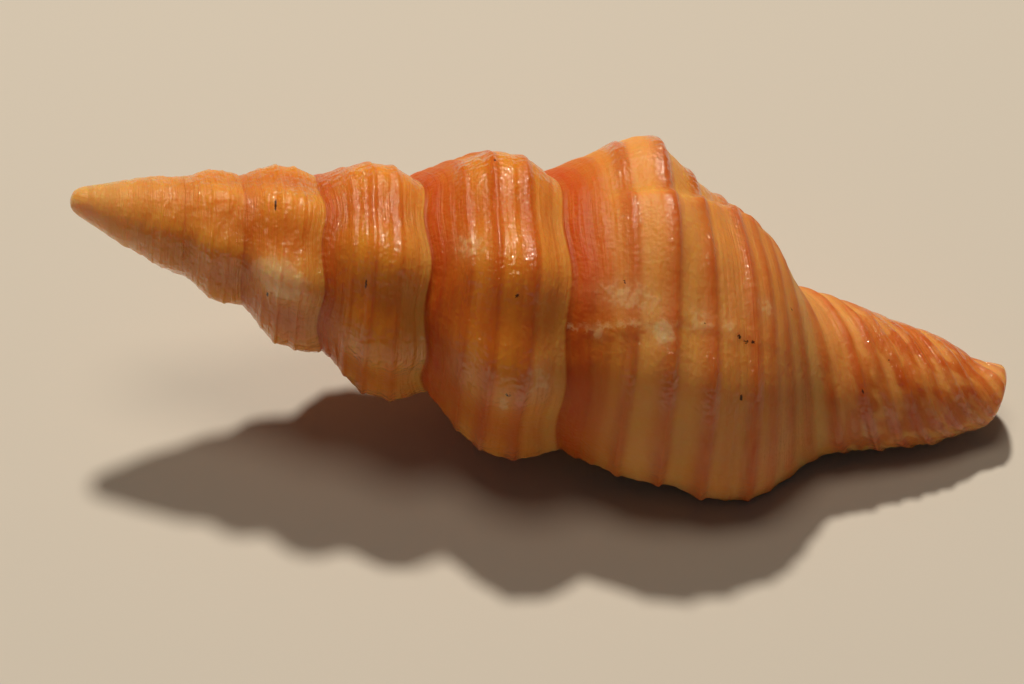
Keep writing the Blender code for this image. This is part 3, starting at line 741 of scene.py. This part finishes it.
def add(tree, kind, inputs, **settings):
    """Adds a node, sets its properties, links or fills its inputs, which are given in their order
    or by name, and returns its first output in use."""
    made = tree.nodes.new("ShaderNode" + kind)
    for name, value in settings.items():
        setattr(made, name, value)
    for name, value in inputs.items() if isinstance(inputs, dict) else enumerate(inputs):
        if isinstance(value, bpy.types.NodeSocket):
            tree.links.new(value, made.inputs[name])
        else:
            made.inputs[name].default_value = value
    return next((socket for socket in made.outputs if socket.enabled), None)


# %% [markdown]
# ## The shell's finish
# Snail shell is aragonite, laid down in thin crossed layers under a smooth outer skin. It is
# glossy where it is sound, and it lets some light in: that light comes out again redder, which
# warms the shaded side. Pale cream-orange ground, orange washes between the ribs that are partly
# painted shade in the troughs, deep orange cords and red-orange sutures lie over each other as thin
# layers of colour, so each is a mix.
# First come the patterns that break them up: noise along the strip, and noise in space.

# %% Patterns on the shell
material = bpy.data.materials.new("glossy_aragonite")
material.use_nodes = True
tree = material.node_tree
tree.nodes.clear()
known = {name: add(tree, "Attribute", {}, attribute_name=name).node.outputs["Fac"] for name in measures}
local = add(tree, "TexCoord", {}).node.outputs["Object"]
place_mm = add(tree, "VectorMath", {0: local, "Scale": 1000.0}, operation="SCALE")
strip_uv = add(tree, "UVMap", {}, uv_map="strip")
# On the strip a scale is cycles to a growth turn and to a cord: growth lines are 120 to a turn, some
# 0.5 mm apart on the last whorl. On the place it is cycles to a millimetre: clouds are 3 mm across,
# pimples 0.5 mm and grain 0.25 mm, which is coarser than the real grain, so that it shows.
noise = {}
for name, source, scale, detail in (
        ("growth", strip_uv, (120.0, 1.0, 1.0), 2.0), ("threads", strip_uv, (9.0, 5.0, 1.0), 2.0),
        ("breaks", strip_uv, (22.0, 1.6, 1.0), 3.0), ("blotches", strip_uv, (15.0, 0.9, 1.0), 1.0),
        ("clouds", place_mm, (0.33, 0.33, 0.33), 3.0), ("pimples", place_mm, (2.0, 2.0, 2.0), 1.0),
        ("grain", place_mm, (4.0, 4.0, 4.0), 3.0)):
    scaled = add(tree, "Mapping", {"Vector": source, "Scale": scale})
    noise[name] = add(tree, "TexNoise", {"Vector": scaled, "Scale": 1.0, "Detail": detail})
print(len(tree.nodes), "nodes so far")

# %% [markdown]
# ## Dirt and the mended break
# Small dark specks of dirt stick to the shell. A picture could hold them, but a few spots in the
# strip's own coordinates stay sharp at any size. The strip is scaled and moved so that a speck
# is a spot of radius 1. The break is a pale line in the same coordinates, partly the mended shell
# and partly a painted highlight along its ridge, and one fine noise frays both.

# %% Specks of dirt
# Growth turn, step, and half sizes in mm round the turn and along the axis.
SPECKS = ((4.924, 0.37, 0.36, 0.07), (5.107, 0.34, 0.26, 0.07), (6.031, 0.41, 0.28, 0.06),
          (6.822, 0.49, 0.10, 0.10), (6.842, 0.465, 0.09, 0.09), (7.001, 0.61, 0.09, 0.14),
          (7.963, 0.29, 0.08, 0.09), (7.992, 0.955, 0.10, 0.13), (7.996, 0.995, 0.07, 0.17),
          (7.995, 1.035, 0.11, 0.12), (8.053, 0.97, 0.20, 0.09), (7.987, 0.75, 0.06, 0.06),
          (7.935, 1.33, 0.06, 0.06), (8.038, 1.73, 0.14, 0.08), (7.105, 0.615, 0.11, 0.18),
          (7.956, 1.97, 0.05, 0.06))
FRAY = (0.010, 0.075, 0.0)
frayed = add(tree, "TexNoise", {"Vector": place_mm, "Scale": 7.0, "Detail": 1.0}).node.outputs["Color"]
frayed_uv = add(tree, "VectorMath", (frayed, FRAY, strip_uv), operation="MULTIPLY_ADD")
nearest = 9.0
for t, u, half_round, half_along in SPECKS:
    count = float(cord_count(t, u))
    count_per_mm = (float(cord_count(t, u + 0.01)) - count) / 0.01 / float(height(t))
    girth_mm = 2 * math.pi * float(smooth_radius(np.array([t]), np.array([u]))[0])
    scale = np.array([girth_mm / half_round, 1 / (count_per_mm * half_along), 0.0])
    middle = np.array([t, count, 0.0]) + np.array(FRAY) / 2
    moved = add(tree, "Mapping", {"Vector": frayed_uv, "Scale": scale, "Location": -scale * middle})
    off = add(tree, "VectorMath", (moved,), operation="LENGTH").node.outputs["Value"]
    nearest = add(tree, "Math", (nearest, off), operation="MINIMUM")
dirt = add(tree, "MapRange", (nearest, 0.7, 1.2, 1.0, 0.0))
print(len(SPECKS), "specks")

# %% The mended break
# A pale line across the cords, partly the mended shell and partly a painted highlight along its ridge: a
# growth turn for each number of cords, which the breaks move.
strip_x = add(tree, "SeparateXYZ", (frayed_uv,))
strip_y = strip_x.node.outputs["Y"]
scar_turn = add(tree, "MapRange", (strip_y, 0.0, 4.2, 8.028, 7.999))
scar_off = add(tree, "Math", (strip_x, scar_turn), operation="SUBTRACT")
scar_off = add(tree, "Math", (noise["breaks"], 0.016, scar_off), operation="MULTIPLY_ADD")
scar_off = add(tree, "Math", (scar_off, 0.009), operation="SUBTRACT")
scar_off = add(tree, "Math", (scar_off,), operation="ABSOLUTE")
scar_line_and_highlight = add(tree, "MapRange", (scar_off, 0.001, 0.005, 1.0, 0.0))
scar_share = add(tree, "MapRange", (strip_y, 3.4, 4.6, 1.0, 0.0))
scar_patchy = add(tree, "MapRange", (noise["pimples"], 0.35, 0.6, 0.2, 1.0))
for share in (scar_share, scar_patchy):
    scar_line_and_highlight = add(tree, "Math", (scar_line_and_highlight, share), operation="MULTIPLY")
print(len(tree.nodes), "nodes so far")

# %% [markdown]
# ## Layers of colour
# The ground is a ramp along the axis, from the pale worn apex to a deeper orange. The layers lie
# on it as thin washes. The amount of each is one measure of the point times a noise, so that no
# edge looks ruled, and each wash is a mix of what lies below with one colour.

# %% Ground colour
# Share of the length from the apex, and colour.
GROUND = ((0.0, "#E8B060"), (0.10, "#E8A040"), (0.3, "#E8942A"), (0.55, "#EA952C"), (0.75, "#E89E40"),
          (0.97, "#E39A30"), (1.0, "#E0A654"))
ground = add(tree, "ValToRGB", {"Fac": known["along"]})
ramp = ground.node.color_ramp
while len(ramp.elements) < len(GROUND):
    ramp.elements.new(0.5)
for stop, (at, text) in zip(ramp.elements, GROUND):
    stop.position, stop.color = at, colour(text)
print(len(ramp.elements), "stops in the ground")

# %% How much there is of each layer
fresh = add(tree, "MapRange", (known["along"], 0.04, 0.22, 0.0, 1.0))
# The trough wash is partly the shell's own orange between the ribs and partly painted shade in those
# hollows.
trough = add(tree, "Math", (known["rib"], -1.0, 1.0), operation="MULTIPLY_ADD")
not_pale = add(tree, "Math", (known["pale"], -0.75, 1.0), operation="MULTIPLY_ADD")
trough = add(tree, "Math", (trough, not_pale), operation="MULTIPLY")
trough = add(tree, "Math", (trough, 0.35), operation="SUBTRACT")
between = add(tree, "Math", (noise["clouds"], 0.8, trough), operation="MULTIPLY_ADD")
between = add(tree, "Math", (between, fresh), operation="MULTIPLY", use_clamp=True)
ragged = add(tree, "Math", (noise["breaks"], 0.9, 0.5), operation="MULTIPLY_ADD")
cord_layer = add(tree, "Math", (known["cord"], ragged), operation="MULTIPLY")
stain_ragged = add(tree, "MapRange", (noise["breaks"], 0.35, 0.65, 0.45, 1.0))
stain = add(tree, "Math", (known["stain"], stain_ragged), operation="MULTIPLY")
streak = add(tree, "MapRange", (noise["growth"], 0.58, 0.8, 0.0, 0.12))
# The worn places are partly worn shell and partly painted highlights and sheen, with a ragged edge.
worn_and_sheen_edge = add(tree, "Math", (noise["pimples"], 0.9, known["worn"]), operation="MULTIPLY_ADD")
worn_and_sheen_edge = add(tree, "MapRange", (worn_and_sheen_edge, 0.88, 1.02, 0.3, 1.0))
worn = add(tree, "Math", (known["worn"], worn_and_sheen_edge), operation="MULTIPLY")
blotch = add(tree, "MapRange", (noise["blotches"], 0.46, 0.54, 0.0, 1.0))
blotch = add(tree, "Math", (known["canal"], blotch), operation="MULTIPLY")
not_end = add(tree, "MapRange", (known["along"], 0.955, 0.98, 1.0, 0.1))
blotch = add(tree, "Math", (blotch, not_end), operation="MULTIPLY")
cream_clouds = add(tree, "MapRange", (noise["clouds"], 0.3, 0.6, 0.5, 1.0))
cream = add(tree, "Math", (known["pale"], cream_clouds), operation="MULTIPLY")
print(len(tree.nodes), "nodes so far")

# %% Layers of colour
# From below: the layer, its amount where its measure is 1, and its colour.
# Of these layers, the trough wash is partly painted shade. The worn places and the mended line are partly
# painted highlights.
LAYERS = ((between, 0.8, "#D0640C"), (cream, 0.55, "#F0B670"), (blotch, 0.75, "#CC6412"),
          (cord_layer, 0.8, "#C05206"), (stain, 0.85, "#C44A06"), (streak, 0.5, "#F0B878"),
          (known["glaze"], 0.7, "#EBB983"), (known["lining"], 1.0, "#F0D8B8"),
          (worn, 0.8, "#F4CC98"), (scar_line_and_highlight, 0.5, "#F0C48C"), (dirt, 0.92, "#331505"))
skin = ground
for amount, share, text in LAYERS:
    factor = add(tree, "Math", (amount, share), operation="MULTIPLY", use_clamp=True)
    skin = add(tree, "Mix", {0: factor, 6: skin, 7: colour(text)}, data_type="RGBA")
print(len(LAYERS), "layers of colour")

# %% [markdown]
# ## Relief and gloss
# Relief finer than the mesh is a bump. Gloss is a clear coat over a satin skin: the coat lies on
# the early whorls, the ribs, the cords and the canal, where the real shell is unworn and shows
# small glints, and it thins out between them.

# %% Fine relief
# A noise of share 1 is up to 0.08 mm high. Growth lines crinkle more below a suture.
crinkle = add(tree, "Math", (known["stain"], 0.3, 0.15), operation="MULTIPLY_ADD")
fine_height = add(tree, "Math", (noise["growth"], crinkle, noise["threads"]), operation="MULTIPLY_ADD")
for name, share in (("grain", 0.35), ("pimples", 0.8), ("breaks", 0.9)):
    fine_height = add(tree, "Math", (noise[name], share, fine_height), operation="MULTIPLY_ADD")
fine_relief = add(tree, "Bump", {"Height": fine_height, "Distance": 0.00008})
# The glossy skin is more uneven than the shell below it, which breaks its glints up.
coat_height = add(tree, "Math", (noise["pimples"], 1.6, fine_height), operation="MULTIPLY_ADD")
coat_relief = add(tree, "Bump", {"Height": coat_height, "Distance": 0.00011})
print(len(tree.nodes), "nodes so far")

# %% Gloss and inner light
young = add(tree, "MapRange", (known["along"], 0.25, 0.45, 0.75, 0.0))
polish = add(tree, "Math", (known["canal"], 0.8, known["rib"]), operation="MULTIPLY_ADD")
# On the later whorls only the cords are glossy, so their glints lie in rows.
on_cord = add(tree, "MapRange", (known["cord"], 0.2, 0.6, 0.35, 1.0))
before = add(tree, "MapRange", (known["along"], 0.42, 0.58, 1.0, 0.0))
on_cord = add(tree, "Math", (on_cord, before), operation="MAXIMUM")
polish = add(tree, "Math", (polish, on_cord), operation="MULTIPLY")
polish = add(tree, "Math", (polish, young), operation="MAXIMUM")
polish_clouds = add(tree, "MapRange", (noise["clouds"], 0.35, 0.65, 0.6, 1.0))
polish = add(tree, "Math", (polish, polish_clouds), operation="MULTIPLY")
roughness = add(tree, "MapRange", (polish, 0.15, 0.9, 0.56, 0.36))
coat = add(tree, "MapRange", (polish, 0.25, 0.8, 0.0, 1.0))
# Red light travels 3 mm inside the shell, green a quarter of that and blue hardly any.
surface = add(tree, "BsdfPrincipled", {
    "Base Color": skin, "Roughness": roughness, "Normal": fine_relief, "IOR": 1.53,
    "Specular IOR Level": 0.3, "Coat Weight": coat, "Coat Roughness": 0.05,
    "Coat Normal": coat_relief, "Subsurface Weight": 0.8, "Subsurface Radius": (1.0, 0.26, 0.08),
    "Subsurface Scale": 0.003})
add(tree, "OutputMaterial", {"Surface": surface})
mesh.materials.append(material)
print(len(tree.nodes), "nodes in", material.name)

# %% [markdown]
# ## Table and light
# The table is uncoated paper board, pale and matt, so that it takes the shadow and says nothing
# else. The shadow in the photograph falls forwards and a little to the right, which puts the
# light high behind the shell, on the left. A small lamp there gives the sharp glints on the
# ribs. A broad weak one overhead and a pale sky keep the near side from going black.

# %% The table
TABLE_HALF, TABLE_GAP = 1.2, 0.00002
table_mesh = bpy.data.meshes.new("table")
square = np.array([(-1, -1, 0), (1, -1, 0), (1, 1, 0), (-1, 1, 0)]) * TABLE_HALF - (0, 0, TABLE_GAP)
table_mesh.from_pydata(square.tolist(), [], [(0, 1, 2, 3)])
table = bpy.data.objects.new("table", table_mesh)
bpy.context.scene.collection.objects.link(table)
# Uncoated paper scatters light evenly, so the eye sees the shadow on it and no gloss.
paper = bpy.data.materials.new("matt_paper")
paper.use_nodes = True
paper_surface = paper.node_tree.nodes["Principled BSDF"]
paper_surface.inputs["Base Color"].default_value = colour("#D2D0CB")
paper_surface.inputs["Roughness"].default_value = 0.9
table_mesh.materials.append(paper)
print("table is", 2 * TABLE_HALF, "m wide")


# %% Lamps and sky
def lamp(name, direction, distance, size, power, tint):
    """A round area light, in watts and metres, that looks at the shell from (x, y, z)."""
    data = bpy.data.lights.new(name, "AREA")
    data.shape, data.size, data.energy, data.color = "DISK", size, power, colour(tint)[:3]
    made = bpy.data.objects.new(name, data)
    towards = Vector(direction).normalized()
    made.location = towards * distance
    made.rotation_euler = towards.to_track_quat("Z", "Y").to_euler()
    bpy.context.scene.collection.objects.link(made)
    print(name, "lamp,", power, "W")


lamp("key", (-0.07, 0.445, 0.893), 0.6, 0.06, 2.9, "#FFF0DA")
lamp("overhead", (-0.1, 0.0, 1.0), 0.8, 0.3, 1.2, "#FFE6C8")
world = bpy.data.worlds.new("studio")
world.use_nodes = True
sky = world.node_tree.nodes["Background"]
sky.inputs["Color"].default_value = colour("#F0ECE6")
sky.inputs["Strength"].default_value = 0.045
bpy.context.scene.world = world
bpy.context.scene.view_settings.view_transform = "Standard"
